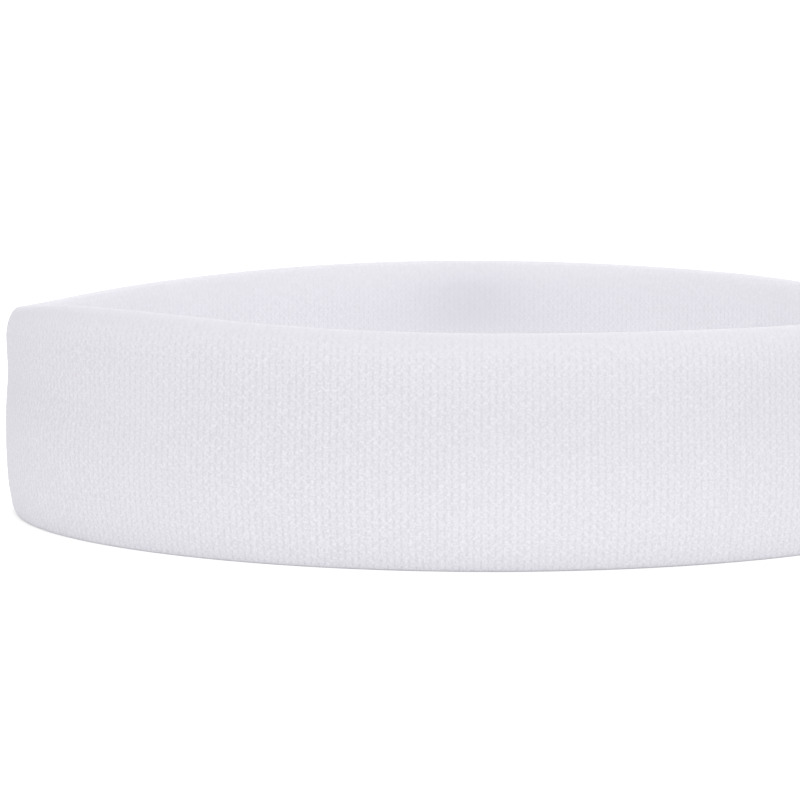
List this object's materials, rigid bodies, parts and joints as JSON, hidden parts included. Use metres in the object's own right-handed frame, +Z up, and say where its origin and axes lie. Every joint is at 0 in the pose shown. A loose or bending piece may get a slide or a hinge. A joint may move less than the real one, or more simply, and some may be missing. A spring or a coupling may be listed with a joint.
{
  "type": "sports headband",
  "caption": "Soft white double-layer knit headband: an egg-shaped ring folded along its top edge, with an elastic, an absorbent core and a blank inner label.",
  "frame": {"origin": "on the ground under the middle of the ring, where the band stands on its lower edge", "axes": "+X across the wearer's head as seen from the front, +Y towards the back seam, +Z up through the ring, from the seamed lower edge to the folded upper edge"},
  "size_m": [0.1791, 0.1611, 0.04],
  "materials": {
    "knit": "fine white interlock knit, matt, slightly cool white",
    "core_fleece": "brushed off-white fleece",
    "elastic": "woven natural-white elastic tape with fine lengthwise ribs",
    "seam_thread": "white twisted polyester sewing thread, slight sheen",
    "label_satin": "white satin tape, blank, soft sheen"
  },
  "bodies": {
    "band": {"knit_shell": "knit", "absorbent_core": "core_fleece", "elastic_band": "elastic", "bottom_seam_thread": "seam_thread", "closing_thread": "seam_thread", "back_seam_thread": "seam_thread", "elastic_joint_thread": "seam_thread"},
    "label": {"care_label": "label_satin"}
  },
  "joints": [
    {"name": "label_flap", "type": "hinge", "parent": "band", "child": "label", "pos_m": [0, 0.07325, 0.012], "axis": [0, 0, -1], "range_deg": [0, 135]}
  ]
}
